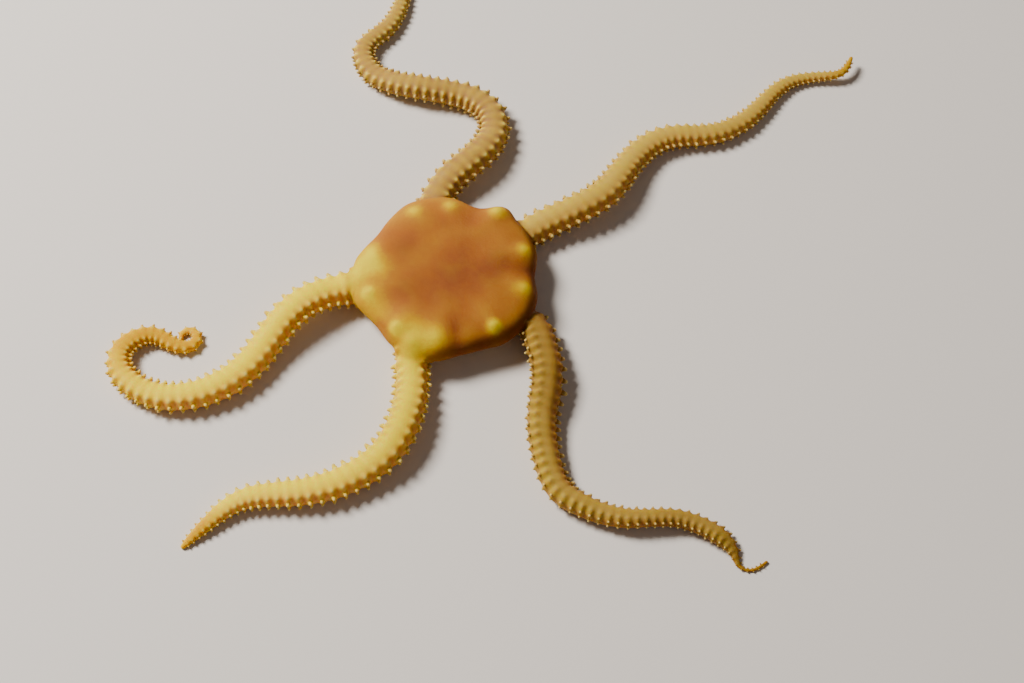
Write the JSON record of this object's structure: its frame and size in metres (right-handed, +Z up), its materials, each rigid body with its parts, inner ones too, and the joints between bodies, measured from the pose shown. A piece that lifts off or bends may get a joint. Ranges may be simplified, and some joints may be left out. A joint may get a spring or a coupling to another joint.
{
  "type": "brittle star",
  "caption": "Skin-covered brittle star lying at rest: a low lobed disc with long slender spiny arms in loose bends, an arm tip curled up and jaws under the disc.",
  "frame": {"origin": "middle of the plan box at floor level, so that the animal rests on the floor", "axes": "+Z up from the floor; +Y towards the arm that leaves the back of the disc, +X to the viewer's right"},
  "size_m": [0.1196, 0.1214, 0.007],
  "materials": {
    "disc_skin": "moist satin skin, orange-brown in the hollows and yellow on the rim's swellings",
    "arm_skin": "moist satin skin, golden yellow above and orange along the sides, with pale spine tips",
    "jaw_skin": "cream-yellow skin over small plates, satin"
  },
  "bodies": {
    "root": {"disc": "disc_skin", "jaw_1": "jaw_skin", "jaw_2": "jaw_skin", "jaw_3": "jaw_skin", "jaw_4": "jaw_skin", "jaw_5": "jaw_skin", "arm_a_1": "arm_skin", "arm_a_2": "arm_skin", "arm_a_3": "arm_skin", "arm_a_4": "arm_skin", "arm_a_5": "arm_skin", "arm_a_6": "arm_skin", "arm_a_tip": "arm_skin", "arm_b_1": "arm_skin", "arm_b_2": "arm_skin", "arm_b_3": "arm_skin", "arm_b_tip": "arm_skin", "arm_c_1": "arm_skin", "arm_c_2": "arm_skin", "arm_c_3": "arm_skin", "arm_c_4": "arm_skin", "arm_c_tip": "arm_skin", "arm_d_1": "arm_skin", "arm_d_2": "arm_skin", "arm_d_tip": "arm_skin", "arm_e_1": "arm_skin", "arm_e_2": "arm_skin", "arm_e_3": "arm_skin", "arm_e_4": "arm_skin", "arm_e_5": "arm_skin", "arm_e_6": "arm_skin", "arm_e_tip": "arm_skin"}
  },
  "joints": []
}
